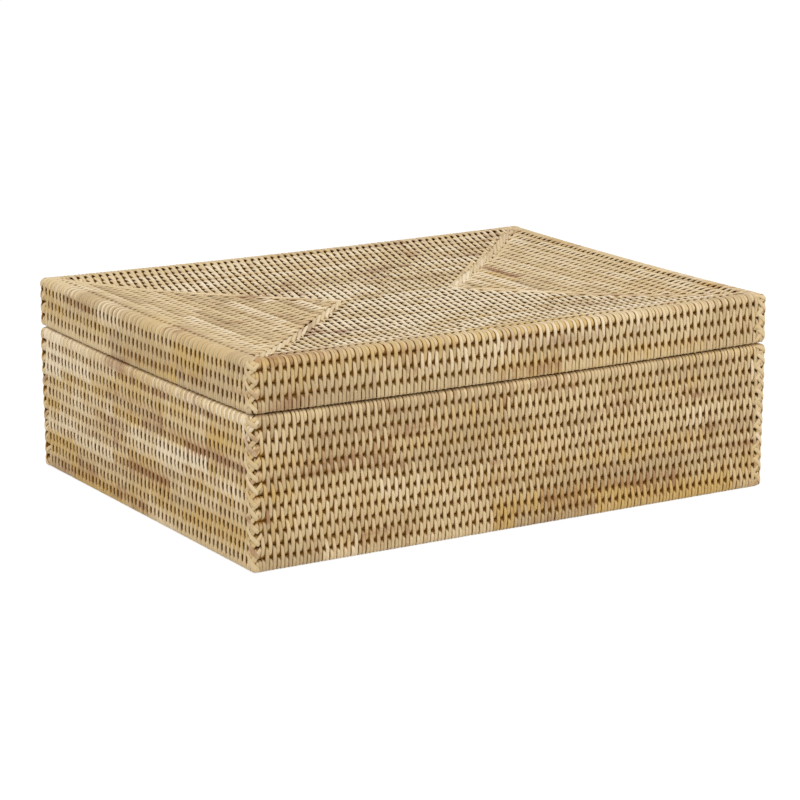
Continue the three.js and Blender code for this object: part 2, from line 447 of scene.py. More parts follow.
def strip_uvs(rings, corner, size):
    """UVs of the same faces, inside each strip's own cell."""
    steps, points = rings.shape[1:3]
    u = CELL_MARGIN + (1 - 2 * CELL_MARGIN) * np.arange(points + 1) / points
    v = 2 * CELL_MARGIN + (1 - 4 * CELL_MARGIN) * np.arange(steps) / (steps - 1)
    grid = np.stack(np.meshgrid(u, v), axis=-1)
    sides = np.stack([grid[:-1, :-1], grid[:-1, 1:], grid[1:, 1:], grid[1:, :-1]], axis=2)
    turn = 2 * np.pi * np.arange(points) / points
    disc = CELL_MARGIN * CAP_SHARE * np.stack([2 * np.cos(turn), np.sin(turn)], -1)
    caps = np.stack([disc + (0.5, CELL_MARGIN), disc + (0.5, 1 - CELL_MARGIN)])
    groups = sides.reshape(1, -1, 4, 2), caps.reshape(1, -1, points, 2)
    return [(group * size + corner[:, None, None]).reshape(-1, 2) for group in groups]


print("each strip leaves", CELL_MARGIN, "of its UV cell free on either side")

# %% Bundles of strips
# Painted shade on the strips' flanks: each point of the section counts as deeper by this much, so the flanks
# take the brown painted shade of the holes.
FLANK_PAINTED_SHADE = 2.4
CELL_SHAPE = 0.36


class Bundle:
    """Strips that become one mesh object."""

    def __init__(self, name, body, material=cane, slot="bound_cane"):
        self.name = name
        self.body = body
        self.material = material
        self.slot = slot
        self.groups = []

    def add(self, rings, section, depth, tint):
        """Adds strips: rings as ribbon() gives them, their depth at each step and their tint."""
        lengths = np.linalg.norm(np.diff(rings.mean(axis=2), axis=1), axis=-1)
        along = np.concatenate([np.zeros((len(rings), 1)), np.cumsum(lengths, axis=1)], axis=1)
        grain = np.empty(rings.shape)
        grain[..., 0] = np.array([a for a, _ in section])
        grain[..., 1] = along[..., None]
        # The depth carries the flanks' painted shade as well as the strip's real depth.
        grain[..., 2] = (depth / MM)[..., None] + FLANK_PAINTED_SHADE * np.array([h for _, h in section])
        self.groups.append((rings, grain, np.broadcast_to(tint[:, None, None], rings.shape)))

    def build(self):
        total = sum(len(rings) for rings, _, _ in self.groups)
        columns = math.ceil(math.sqrt(total / CELL_SHAPE))
        rows = math.ceil(total / columns)
        cell = np.array([1 / columns, 1 / rows])
        corners, starts, uvs = [], [], []
        first_vertex, first_strip, first_corner = 0, 0, 0
        for rings, _, _ in self.groups:
            number = first_strip + np.arange(len(rings))
            place = np.stack([number % columns / columns, number // columns / rows], -1)
            for face, uv in zip(strip_faces(rings, first_vertex), strip_uvs(rings, place, cell)):
                corners.append(face.ravel())
                starts.append(first_corner + np.arange(len(face)) * face.shape[1])
                uvs.append(uv)
                first_corner += face.size
            first_vertex += rings[..., 0].size
            first_strip += len(rings)
        mesh = bpy.data.meshes.new(self.name)
        mesh.vertices.add(first_vertex)
        mesh.vertices.foreach_set("co", self.joined_values(0))
        mesh.loops.add(first_corner)
        mesh.polygons.add(sum(len(s) for s in starts))
        mesh.polygons.foreach_set("loop_start", np.concatenate(starts))
        mesh.polygons.foreach_set("vertices", np.concatenate(corners))
        mesh.update(calc_edges=True)
        mesh.shade_smooth()
        for name, which in ((GRAIN, 1), (TINT, 2)):
            vectors = mesh.attributes.new(name, "FLOAT_VECTOR", "POINT")
            vectors.data.foreach_set("vector", self.joined_values(which))
        mesh.uv_layers.new(name="OFBake").data.foreach_set("uv", np.concatenate(uvs).ravel())
        mesh.materials.append(self.material)
        piece = put(self.name, mesh)
        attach(piece, self.body)
        print(self.name, "has", total, "strips and", len(mesh.polygons), "faces")
        return piece

    def joined_values(self, which):
        return np.concatenate([group[which].reshape(-1, 3) for group in self.groups]).ravel()


print("bundles carry", GRAIN, "and", TINT, "for the finish")

# %% [markdown]
# ## Sides of the box
# The weave is worked out flat and then folded round the box. A place on it is given by the distance along
# a side, the inset from that side's face and the height. The upright corners are round, so a place past
# the straight part of a side turns round the corner, and further on it follows the next side. Hand work
# isn't quite true: the cane settles between the corners, most at the mouth and on the lid, and the courses
# lie a little lower than in the frame, most on the end walls.

# %% Sides
CORNER_RADIUS = 3.5 * MM
FAN_REACH = 12 * MM
SETTLED = 0.7 * MM
BASE_DROP = {"front": 0.6 * MM, "right": 1.8 * MM, "back": 0.6 * MM, "left": 1.8 * MM}
LID_DROP = {"front": 0.0, "right": 1.4 * MM, "back": 0.0, "left": 1.4 * MM}
DIRECTIONS = {"front": ((1, 0, 0), (0, -1, 0)), "right": ((0, 1, 0), (1, 0, 0)),
              "back": ((-1, 0, 0), (0, 1, 0)), "left": ((0, -1, 0), (-1, 0, 0))}
wall_high = np.array(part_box("base_wall_course_12")[1])
lid_high = np.array(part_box("lid_wall_course_01")[1])
MOUTH_HEIGHT = wall_high[2]


class Side:
    """One side of the box, seen from outside, with along running to the right."""

    def __init__(self, name, high, drop):
        self.name = name
        self.is_long = name in ("front", "back")
        self.drop = drop
        self.along, self.outward = (np.array(d, float) for d in DIRECTIONS[name])
        self.half_length = float(abs(self.along) @ high)
        self.half_depth = float(abs(self.outward) @ high)
        self.straight = self.half_length - CORNER_RADIUS
        self.corner_line = self.straight + CORNER_RADIUS * math.pi / 4

    def turn(self, along):
        return np.clip((np.abs(along) - self.straight) / CORNER_RADIUS, 0, math.pi / 2)

    def place(self, along, inset, height):
        turn = self.turn(along)
        past = np.clip(np.abs(along) - self.straight - CORNER_RADIUS * math.pi / 2, 0, None)
        radius = np.clip(CORNER_RADIUS - inset, 0, None)
        sideways = np.sign(along) * (np.minimum(np.abs(along), self.straight) + radius * np.sin(turn))
        forward = self.half_depth - inset - radius * (1 - np.cos(turn)) - past
        settled = height + self.settle(sideways, forward) * np.clip(height / MOUTH_HEIGHT, 0, 1) ** 2
        flat = sideways[..., None] * self.along + forward[..., None] * self.outward
        return flat + settled[..., None] * UP

    def settle(self, sideways, forward):
        """How far the cane has settled at the mouth: down between the corners, a little up at them."""
        return SETTLED * (2 * (sideways / self.half_length) ** 2 * (forward / self.half_depth) ** 2 - 1)

    def fan(self, along, inset):
        """Draws places near the ends of the side together where the wall turns inward, as at a mitre."""
        near = np.clip((np.abs(along) - self.half_length) / FAN_REACH + 1, 0, 1)
        return along - np.sign(along) * near * inset

    def facing(self, along, out, up):
        """The direction with that share outwards and upwards."""
        turn = self.turn(along)
        aside = (np.sign(along) * np.sin(turn))[..., None] * self.along
        flat = np.cos(turn)[..., None] * self.outward + aside
        return unit(out[..., None] * flat + up[..., None] * UP)


base_sides = [Side(name, wall_high, BASE_DROP[name]) for name in DIRECTIONS]
lid_sides = [Side(name, lid_high, LID_DROP[name]) for name in DIRECTIONS]
print("half lengths in mm:", [(s.name, round(s.half_length / MM, 1)) for s in base_sides])

# %% [markdown]
# ## Courses read from the frame
# The grooves between courses are where strips dive, so their heights and insets come straight from the CAD
# nodes. A run of courses, such as the outside of the base from the floor's edge to the mouth, is one skin:
# a line in section with a groove after each course. The first and last courses of a wall are wrapped right
# round, so there the line turns round the edge with a radius.

# %% Skins
class Skin:
    """A run of courses in section: one path of (inset, height) points per course, in metres."""

    def __init__(self, paths, inward=False, spine=False):
        self.spine = spine
        self.grooves = np.concatenate([[0], np.cumsum([path_length(p) for p in paths])])
        self.curved = np.array([len(p) > 2 for p in paths])
        points = np.concatenate([[paths[0][0]]] + [np.asarray(p)[1:] for p in paths])
        self.run = np.concatenate([[0], np.cumsum(np.linalg.norm(np.diff(points, axis=0), axis=1))])
        self.points = points
        slope = unit(np.gradient(points, self.run, axis=0))
        self.facing = np.stack([slope[:, 1], slope[:, 0]], axis=1) * (-1 if inward else 1)
        self.rows = len(paths)

    def at(self, travel):
        """Inset, height, outward share and upward share of the crest line there."""
        line = [np.interp(travel, self.run, self.points[:, k]) for k in (0, 1)]
        face = [np.interp(travel, self.run, self.facing[:, k]) for k in (0, 1)]
        return line + face

    def middles(self):
        return self.at((self.grooves[:-1] + self.grooves[1:]) / 2)


def path_length(path):
    return np.linalg.norm(np.diff(np.asarray(path), axis=0), axis=1).sum()


def rounded(points, radius, steps=6):
    """The path through the points, with a quarter circle of that radius at each inner one."""
    points = [np.array(p, float) for p in points]
    path = [points[0]]
    for before, corner, after in zip(points, points[1:], points[2:]):
        into = unit(corner - before) * radius
        out = unit(after - corner) * radius
        for angle in np.linspace(0, math.pi / 2, steps + 1):
            path.append(corner - into + out - out * math.cos(angle) + into * math.sin(angle))
    return path + [points[-1]]


def joined(points):
    """One straight path between each point and the next."""
    return [list(pair) for pair in zip(points, points[1:])]


print("a quarter turn of 1 mm is", round(path_length(rounded([(0, 0), (1, 0), (1, 1)], 1.0)), 3), "mm long")

# %% Grooves of walls and panels
PANEL_GAP = 0.02


def numbered(stem, count):
    return ["%s_%02d" % (stem, k) for k in range(1, count + 1)]


BASE_COURSES = numbered("base_wall_course", 12)
LID_COURSES = numbered("lid_wall_course", 3)
FLOOR_COURSES = numbered("floor_course", 16)
LID_TOP_COURSES = numbered("lid_top_course", 16)


def wall_grooves(courses, high):
    """(inset, height) of a wall's bottom edge, the grooves between its courses and its top edge."""
    boxes = [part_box(name) for name in courses]
    inset = [high[1] - box[1].y for box in boxes]
    between = [
        ((inset[k] + inset[k + 1]) / 2, (boxes[k][1].z + boxes[k + 1][0].z) / 2)
        for k in range(len(boxes) - 1)
    ]
    return [(inset[0], boxes[0][0].z)] + between + [(inset[-1], boxes[-1][1].z)]


def panel_grooves(courses, spine, high, edge):
    """(inset, height) of each groove from a panel's edge inwards, and of its spine's middle and far side."""
    boxes = [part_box(name) for name in courses + [spine]]
    outer = [high[1] - box[1].y for box in boxes]
    level = [box[edge].z for box in boxes]
    gap = (outer[1] - outer[0]) * PANEL_GAP
    grooves = [(outer[0] - gap, level[0])]
    for k in range(1, len(boxes)):
        grooves.append((outer[k] - gap, (level[k - 1] + level[k]) / 2))
    far = high[1] - boxes[-1][0].y + gap
    return grooves + [(high[1], level[-1]), (far, level[-1])]


base_wall = wall_grooves(BASE_COURSES, wall_high)
lid_wall = wall_grooves(LID_COURSES, lid_high)
rim_low, rim_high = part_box("lid_rim")
floor_bottom, floor_top = (panel_grooves(FLOOR_COURSES, "floor_spine", wall_high, edge) for edge in (0, 1))
lid_bottom, lid_top = (panel_grooves(LID_TOP_COURSES, "lid_top_spine", lid_high, edge) for edge in (0, 1))
print("base grooves in mm:", [round(z / MM, 1) for _, z in base_wall])

# %% [markdown]
# ## Outside and inside lines
# A wall has one line outside and one inside, and the lid's top and the floor carry them on to a spine.
# The lowest course of the base turns under its bottom edge, the highest turns over the mouth, and the lid's
# rim turns on to the top. The lines could be drawn as curves by eye, but built on the grooves of the frame
# they stay in place when the courses change.

# %% Outside and inside lines
BASE_WALL = 8 * MM
LID_WALL = 7.2 * MM
LID_WALL_ROWS = 4
LID_LINING_WALL_ROWS = 2
MOUTH_DROP = 0.5 * MM
BOTTOM_ROUND = 3.4 * MM
MOUTH_ROUND = 3.9 * MM
LID_EDGE_ROUND = 1.0 * MM
RIM_ROUND = 4.4 * MM
UNDERSIDE_LIFT = 0.7 * MM
base_wall[-1] = (base_wall[-1][0], base_wall[-1][1] - MOUTH_DROP)
lid_wall[-1] = (0.0, (lid_wall[-1][1] + rim_low.z) / 2)
lid_wall.append((0.0, rim_high.z))
rim_edge = (lid_top[0][0], rim_high.z)


def inner_face(grooves, wall):
    return [(inset + wall, height) for inset, height in grooves]


def dropped(grooves, drop):
    """The grooves of a wall with all but its two edges moved down."""
    return grooves[:1] + [(inset, height - drop) for inset, height in grooves[1:-1]] + grooves[-1:]


def base_skins(drop):
    """The base's outside, from the floor's edge over the mouth, and its inside with the floor."""
    wall = dropped(base_wall, drop)
    inner = inner_face(wall, BASE_WALL)
    bottom = rounded([floor_bottom[0], wall[0], wall[1]], BOTTOM_ROUND)
    mouth = rounded([wall[-2], wall[-1], inner[-1], inner[-2]], MOUTH_ROUND)
    outside = Skin([bottom] + joined(wall[1:-1]) + [mouth])
    return outside, Skin(joined(inner[-2:1:-1] + floor_top), spine=True)


def lid_skins(drop):
    """The lid's outside, from its lower edge over the rim to the spine, and its inside."""
    wall = dropped(lid_wall, drop)
    inner = inner_face(wall, LID_WALL)
    bottom = rounded([inner[1], inner[0], wall[0], wall[1]], LID_EDGE_ROUND)
    rim = rounded([wall[-2], wall[-1], rim_edge], RIM_ROUND)
    outside = Skin([bottom] + joined(wall[1:-1]) + [rim] + joined([rim_edge] + lid_top[1:]), spine=True)
    return outside, Skin(joined(inner[1:-1] + lid_bottom), inward=True, spine=True)


base_outside, base_inside = base_skins(0.0)
lid_outside, lid_inside = lid_skins(0.0)
raised_bottom = [(inset, height + UNDERSIDE_LIFT) for inset, height in floor_bottom]
floor_underside = Skin(joined(raised_bottom), inward=True, spine=True)
print("courses outside: base", base_outside.rows, "lid", lid_outside.rows)

# %% [markdown]
# ## How a strip lies
# Each strip binds two courses. It is flat and leans a little to the right as it climbs. Its left edge is
# straight, and its right edge draws in to the left at both ends, over a longer stretch at the start than at
# the end, while the strip dives between the rods. That leaves the small dark hole that gives the weave its
# look. Over the groove between its two courses a strip stands a little proud. One modelled strip could be
# copied thousands of times, but no two strips of a real box are alike, so each is worked out with its own
# numbers.

# %% Lie of a strip
END_DEPTH = 2.6 * MM
DIVE_POWER = 1.8
START_DIVE = 3.8 * MM
END_DIVE = 2.8 * MM
CROSSING_RISE = 0.55 * MM
CROSSING_REACH = 4.0 * MM
TAPER_POWER = 1.6
TAPER_DEPTH = 1.70
MOST_TAPER = 1.8
START_TAPER = 2.4 * MM
END_TAPER = 1.3 * MM
DEEPEST_GAPE = 2.2
STRIP_SHARE = 0.487
EDGE_SHARE = 0.474
STRIP_TILT = -0.05 * MM
STRIP_LEAN = 0.35 * MM
GAPE_DIVE_POWER = 0.5
GAPE_DEPTH_POWER = 0.4
print("a strip draws in over", START_TAPER / MM, "mm at its start and", END_TAPER / MM, "mm at its end")

# %% Rings of strips
PLACE_SPREAD = 0.11 * MM
LIE_SPREAD = 0.07 * MM
DEPTH_RANGE = (0.9, 1.1)
WIDTH_RANGE = (0.93, 1.04)
TAPER_RANGE = (0.75, 1.2)
STEP_EASE = 1.35
STRAIGHT_STEPS = {True: 6, False: 3}
CURVED_STEPS = {True: 15, False: 7}


def fade(distance, reach, power):
    return np.clip(1 - distance / reach, 0, 1) ** power


def row_steps(count, is_first, is_last):
    """Shares of one course at which a strip has a ring, closer together where the strip ends."""
    steps = np.linspace(0, 1, count + 1)
    steps = steps ** STEP_EASE if is_first else steps
    return 1 - (1 - steps) ** STEP_EASE if is_last else steps


def between(share, at_grooves):
    """Values along each strip from its values at the grooves."""
    return np.stack([np.interp(share, np.arange(len(values)), values) for values in at_grooves])


def strip_rings(skin, side, period, row, places, gape, rng, fine):
    """Rings, section and depth of strips that start at one course. places holds where each strip is along
    every groove that it meets, and how far it has wandered up there."""
    span = places[0].shape[1] - 1
    counts = [(CURVED_STEPS if skin.curved[row + k] else STRAIGHT_STEPS)[fine] for k in range(span)]
    shares = [k + row_steps(n, k == 0, k == span - 1)[:-1] for k, n in enumerate(counts)]
    share = np.concatenate(shares + [[span]])
    edges = skin.grooves[row:row + span + 1]
    travel = np.interp(share, np.arange(span + 1), edges)
    along, climb = (between(share, values) for values in places)
    each = (len(along), 1)
    along = along + rng.normal(0, PLACE_SPREAD, each) + STRIP_LEAN * (2 * share / span - 1)
    from_start = travel - edges[0]
    from_end = edges[-1] - travel
    ends_at_spine = skin.spine and row + span == skin.rows
    end_dive = START_DIVE if ends_at_spine else END_DIVE * gape ** GAPE_DIVE_POWER
    end_depth = END_DEPTH * min(gape, DEEPEST_GAPE) ** GAPE_DEPTH_POWER
    sink = end_depth * (fade(from_start, START_DIVE, DIVE_POWER) + fade(from_end, end_dive, DIVE_POWER))
    if span == 2:
        near = fade(np.abs(travel - edges[1]), CROSSING_REACH, 1)
        sink = sink - CROSSING_RISE * np.sin(near * math.pi / 2) ** 2
    depth = -sink * rng.uniform(*DEPTH_RANGE, each) - np.abs(rng.normal(0, LIE_SPREAD, each))
    width = EDGE_SHARE if skin.curved[row:row + span].any() else STRIP_SHARE
    half = period / 2 * width * rng.uniform(*WIDTH_RANGE, each)
    taper = TAPER_DEPTH * rng.uniform(*TAPER_RANGE, each)
    at_start = fade(from_start, START_TAPER * gape, TAPER_POWER)
    at_end = fade(from_end, END_TAPER * gape, TAPER_POWER)
    left = -half * np.ones_like(travel)
    right = half * (1 - np.clip(taper * (at_start + at_end), 0, MOST_TAPER))
    inset, height, out, up = skin.at(travel + climb)
    if skin.curved[row] or skin.curved[row + span - 1]:
        along = side.fan(along, inset)
    normals = side.facing(along, out, up)
    middles = side.place(along, inset - depth * out, height + depth * up)
    section = FINE_SECTION if fine else PLAIN_SECTION
    return ribbon(middles, normals, left, right, section, STRIP_TILT), section, depth


print("a strip over two courses has", 2 * STRAIGHT_STEPS[True] + 1, "rings")

# %% [markdown]
# ## Which cane the maker took up
# One length of split cane lasts for some strips, and then the maker takes up the next, so strips of one
# colour follow each other along a course. Here and there a longer stretch of a turn was bound with other
# cane, which shows as a golden, stained or bleached band. A random tint per strip would look like noise,
# so the tint is drawn per run and only jittered per strip. All draws are seeded.

# %% Colours of the strips
RUN_LENGTHS = (12, 90)
RUNS = 60
RUN_MARGIN = 1.2
RUN_SPREAD = (0.42, 0.20, 0.12)
STRIP_JITTER = (0.14, 0.07, 0.05)
TURN_EASE = 30 * MM


def run_tints(rng, rows, reach, tint):
    """Where the runs of each course end along it, and the tint of each run."""
    ends = np.cumsum(rng.uniform(*RUN_LENGTHS, (rows, RUNS)), axis=1) * MM - reach * RUN_MARGIN
    mean = np.broadcast_to(tint, (rows, 3))[:, None]
    return ends, mean + rng.normal(0, 1, (rows, RUNS + 1, 3)) * RUN_SPREAD


def turn_tint(turns, course, along, reach):
    """What the turns of the coil that were bound with other cane add to the tint of a course's strips."""
    extra = np.zeros((len(along), 3))
    for first, last, start, end, tint in turns:
        if first <= course <= last:
            after_start = (along - start * reach).clip(0, TURN_EASE)
            before_end = (end * reach - along).clip(0, TURN_EASE)
            extra += (after_start * before_end)[:, None] / TURN_EASE ** 2 * np.array(tint)
    return extra


print("a run of one colour is", RUN_LENGTHS[0], "to", RUN_LENGTHS[1], "mm long")

# %% [markdown]
# ## The running bond
# Strips are stepped by one course against those beside them, like bricks. So at every groove every second
# column has a gap, where one strip ends and the next begins, and the columns between cross over. The
# lattice leans a little from course to course, because the maker works round the coil, and it wanders a
# little by hand. Next to the upright corners each course is bound by itself. On the lid and the floor the
# front and the back share the spine, and the back's strips go between the front's.

# %% Strips that are laid
LONE_LEFT = 7 * MM
LONE_RIGHT = 3 * MM
CLEAR_LEFT = 1.2 * MM
CLEAR_RIGHT = 0.2 * MM
SEAM_REACH = 2.6 * MM
SPINE_REACH = 2.4 * MM
UPRIGHT = 0.5


def laid_strips(skin, side, columns, middle):
    """Which strips start at each column and course, and which of them span two courses."""
    inset, _, out, _ = skin.middles()
    at_corner = skin.curved | (np.abs(out) > UPRIGHT)
    mitre = side.half_length - inset - SEAM_REACH
    mitre[-2] += SPINE_REACH if skin.spine else 0
    right_limit = np.where(at_corner, side.corner_line - CLEAR_RIGHT, mitre)
    left_limit = np.where(at_corner, side.corner_line - CLEAR_LEFT, mitre)
    inside = (middle <= right_limit) & (middle >= -left_limit)
    over_spine = np.abs(middle[:, -1]) < side.half_length - side.half_depth
    if skin.spine:
        inside[:, -1] = over_spine & (side.name == "front")
    lone = (middle < LONE_LEFT - side.half_length) | (middle > side.half_length - LONE_RIGHT)
    free = inside & ~(lone & at_corner)
    even = (columns[:, None] + np.arange(skin.rows)) % 2 == 0
    double = free & even & np.pad(free, ((0, 0), (0, 1)))[:, 1:]
    start = inside & (even | ~np.pad(double, ((0, 0), (1, 0)))[:, :-1])
    if skin.spine:
        start[:, -1] = False
    if skin.spine and side.name == "back":
        start[:, -2] &= ~(even[:, -2] & over_spine)
    return start, double


print("strips are single within", LONE_LEFT / MM, "mm of a left corner,", LONE_RIGHT / MM, "of a right one")

# %% The bond
WANDER = 0.20 * MM
WANDER_LENGTHS = np.array([29, 47, 83]) * MM
# The first seed of each set of strips. The number of the side is added to it.
SEEDS = {"base": 10, "lid": 20, "lining": 30, "underside": 40, "lid_lining": 50, "base_strands": 60,
         "lid_strands": 70, "top_seam": 80, "inner_seam": 90, "floor_seam": 100, "underside_seam": 110}


def weave(skin, side, period, lean, bundles, seed, fine=True, tint=(0.0, 0.0, 0.0), gape=1.0, met=0.0,
          turns=()):
    """Lays strips on every course of the skin along one side. bundles gives the bundle of each course.

    tint and gape say, for all courses or each, the strips' mean tint and how wide the holes are. met is
    where the front's strips cross the spine, and turns are the stretches bound with other cane."""
    rng = np.random.default_rng(seed)
    drift = np.concatenate([[0], np.cumsum(np.broadcast_to(lean, skin.rows))]) * period
    if side.name == "back":
        drift = drift - met - drift[-3:-1].mean()
    count = int((side.half_length + np.abs(drift).max()) / period * 2) + 2
    columns = np.arange(-count, count + 1)
    groove_place = columns[:, None] * period / 2 + drift
    middle = (groove_place[:, 1:] + groove_place[:, :-1]) / 2
    start, double = laid_strips(skin, side, columns, middle)
    waves = groove_place[..., None] * 2 * np.pi / WANDER_LENGTHS
    phases = rng.uniform(0, 2 * np.pi, (2, 1, skin.rows + 1, len(WANDER_LENGTHS)))
    aside, rise = WANDER * np.sin(waves + phases).sum(axis=-1)
    groove_place = groove_place + aside
    rise[:, [0, -1]] = 0
    run_ends, tints = run_tints(rng, skin.rows, side.half_length, tint)
    gapes = np.broadcast_to(gape, skin.rows)
    for row, span in [(row, span) for row in range(skin.rows) for span in (1, 2)]:
        picked = np.nonzero(start[:, row] & (double[:, row] == (span == 2)))[0]
        if len(picked):
            along = middle[picked, row]
            tint = tints[row, (run_ends[row] < along[:, None]).sum(axis=1)]
            tint += rng.normal(0, 1, tint.shape) * STRIP_JITTER
            tint += turn_tint(turns, row + 1, along, side.half_length)
            rows = slice(row, row + span + 1)
            places = groove_place[picked, rows], rise[picked, rows]
            bundles[row].add(*strip_rings(skin, side, period, row, places, gapes[row], rng, fine), tint)
    return drift[-2:].mean() if side.name == "front" else met


print("the lattice wanders by up to", round(len(WANDER_LENGTHS) * WANDER / MM, 2), "mm")

# %% [markdown]
# ## The base, outside
# The twelve wall courses, seen from outside. The lowest wraps under the bottom edge and the highest over
# the mouth. A tint is a tone, a share of gold and a share of stain, and it changes from the lowest course
# to the highest. A turn names its first and last course and where it starts and ends along the side, as
# shares of half the side's length.

# %% Base outside
LONG_PERIOD = 5.2 * MM
SHORT_PERIOD = 5.38 * MM
WALL_LEAN = {"front": -0.135, "right": -0.15, "back": -0.14, "left": -0.16}
WALL_GAPE = {"front": 0.96, "right": 1.25, "back": 0.96, "left": 1.25}
LOW_TINT = {"front": (-0.28, 0.14, 0), "right": (-0.06, 0.14, 0),
            "back": (-0.06, 0.14, 0), "left": (0.05, 0.24, 0)}
HIGH_TINT = {"front": (-0.38, -0.04, 0), "right": (-0.1, -0.04, 0),
             "back": (-0.1, -0.04, 0), "left": (0.85, 0.10, -0.09)}
GOLDEN = (-0.08, 0.22, 0.09)
STAINED = (-0.20, 0.06, 0.26)
BLEACHED = (0.36, -0.22, -0.08)
BASE_TURNS = {
    "front": [(8, 8, -1.0, -0.35, STAINED), (2, 2, -0.3, 1.0, GOLDEN), (2, 2, 0.4, 0.75, STAINED),
              (6, 9, 0.05, 0.9, BLEACHED), (5, 6, -0.95, -0.3, BLEACHED), (10, 10, -0.9, -0.5, GOLDEN)],
    "right": [(9, 9, -1.0, 0.2, STAINED), (10, 11, -0.5, 0.6, GOLDEN), (5, 6, -0.2, 0.9, BLEACHED),
              (2, 3, -1.0, 0.1, GOLDEN)],
    "back": [(6, 6, -0.4, 0.5, STAINED), (7, 8, -0.7, 0.5, GOLDEN), (9, 11, 0.0, 0.9, BLEACHED),
             (2, 3, -0.9, 0.2, GOLDEN), (3, 3, -0.8, -0.3, STAINED)],
    "left": [(9, 11, -0.4, 1.0, GOLDEN), (8, 8, -0.4, 1.0, STAINED), (6, 7, -0.3, 1.0, BLEACHED),
             (4, 4, -0.15, 0.35, STAINED), (5, 7, -1.0, -0.5, BLEACHED)],
}

for number, side in enumerate(base_sides):
    bundle = Bundle("base_weave_" + side.name, "base")
    skin, _ = base_skins(side.drop)
    period = LONG_PERIOD if side.is_long else SHORT_PERIOD
    tint = np.linspace(LOW_TINT[side.name], HIGH_TINT[side.name], skin.rows)
    weave(skin, side, period, WALL_LEAN[side.name], [bundle] * skin.rows, SEEDS["base"] + number,
          tint=tint, gape=WALL_GAPE[side.name], turns=BASE_TURNS[side.name])
    bundle.build()

# %% [markdown]
# ## The lid, outside and top
# The lid's three wall courses and its rim run on into the top, which is coiled flat round a spine. The four
# sides of the top meet in mitres, so each side's courses get shorter towards the middle. The top is painted
# paler and less golden than the walls, partly as painted sheen, and each of its sides is painted lighter
# or darker as painted light and shade. Its holes gape more.

# %% Lid outside and top
LID_PERIOD = 5.34 * MM
SHORT_LID_PERIOD = 5.6 * MM
LID_LEAN = -0.12
TOP_LEAN = {"front": -0.14, "right": -0.02, "back": -0.12, "left": -0.04}
WALL_TINT = {"front": (-0.14, -0.06, -0.03), "right": (0.0, -0.06, -0.03),
             "back": (0.0, -0.06, -0.03), "left": (-0.50, 0.0, -0.03)}
# Partly painted light: the top's tones are paler and less golden than the walls' to stand in for sheen, and
# each side's tone is set to how light falls on it.
TOP_TINT_AND_PAINTED_LIGHT = {"front": (0.80, -0.32, -0.12), "right": (0.20, -0.32, -0.10),
            "back": (0.50, -0.30, -0.12), "left": (-0.15, -0.32, -0.10)}
TOP_GAPE = {"front": 2.0, "right": 2.2, "back": 2.2, "left": 3.2}
LID_TURNS = {
    "front": [(2, 3, 0.22, 0.82, BLEACHED), (4, 4, 0.2, 0.8, GOLDEN), (1, 2, -1.0, -0.7, STAINED),
              (2, 2, 0.0, 0.22, STAINED)],
    "right": [(1, 2, -0.4, 0.3, BLEACHED), (3, 3, 0.2, 0.9, GOLDEN)],
    "back": [(2, 3, -0.6, -0.1, BLEACHED), (1, 2, 0.4, 0.7, STAINED), (4, 4, -0.8, 0.0, GOLDEN)],
    "left": [(3, 3, -0.5, 0.1, BLEACHED), (1, 2, 0.2, 0.7, GOLDEN)],
}


def by_course(wall, top):
    """One value for each course of the lid's outside."""
    return [wall] * LID_WALL_ROWS + [top] * (lid_outside.rows - LID_WALL_ROWS)


met = 0.0
for number, side in enumerate(lid_sides):
    wall = Bundle("lid_weave_" + side.name, "lid")
    top = Bundle("lid_top_weave_" + side.name, "lid")
    skin, _ = lid_skins(side.drop)
    period = LID_PERIOD if side.is_long else SHORT_LID_PERIOD
    lean = by_course(LID_LEAN, TOP_LEAN[side.name])
    tint = by_course(WALL_TINT[side.name], TOP_TINT_AND_PAINTED_LIGHT[side.name])
    gape = by_course(WALL_GAPE[side.name], TOP_GAPE[side.name])
    met = weave(skin, side, period, lean, by_course(wall, top), SEEDS["lid"] + number,
                tint=tint, gape=gape, met=met, turns=LID_TURNS[side.name])
    wall.build()
    top.build()

# %% [markdown]
# ## Inside and underneath
# The binding goes right round each rod, so the same bond shows inside the box, inside the lid and
# underneath. Nobody looks at those faces from close by, so their strips have a plainer section and fewer
# steps.

# %% Linings and underside
INSIDE_LEAN = -0.14


def line(name, body, skin, side, seed, met, wall_rows=0, wall_name=None):
    """Plain strips on an inside skin. The first courses may go into a bundle of their own."""
    bundles = [Bundle(n + "_" + side.name, body) for n in (wall_name, name) if n]
    rows = [bundles[0]] * wall_rows + [bundles[-1]] * (skin.rows - wall_rows)
    met = weave(skin, side, LID_PERIOD, INSIDE_LEAN, rows, seed, fine=False, met=met)
    for bundle in bundles:
        bundle.build()
    return met


met_inside = met_under = 0.0
inside_rows = base_inside.rows - len(FLOOR_COURSES) - 1
for number, side in enumerate(base_sides):
    _, skin = base_skins(side.drop)
    seed = SEEDS["lining"] + number
    met_inside = line("floor_weave", "base", skin, side, seed, met_inside, inside_rows, "base_lining")
    seed = SEEDS["underside"] + number
    met_under = line("floor_underside", "base", floor_underside, side, seed, met_under)
for number, side in enumerate(lid_sides):
    _, skin = lid_skins(side.drop)
    met_inside = line("lid_lining", "lid", skin, side, SEEDS["lid_lining"] + number, met_inside)

# %% [markdown]
# ## The rods of the courses
# Inside each course lies a rod. Only dark glimpses of it show through the holes, but without it one could
# look right through the box. Each rod is a tube, pressed by its neighbours into a rounded shape, that
# follows the same sides as the strips and settles with them: round the corners in the walls, and mitred on
# the floor and the lid. Each spine is a pair of short rods.

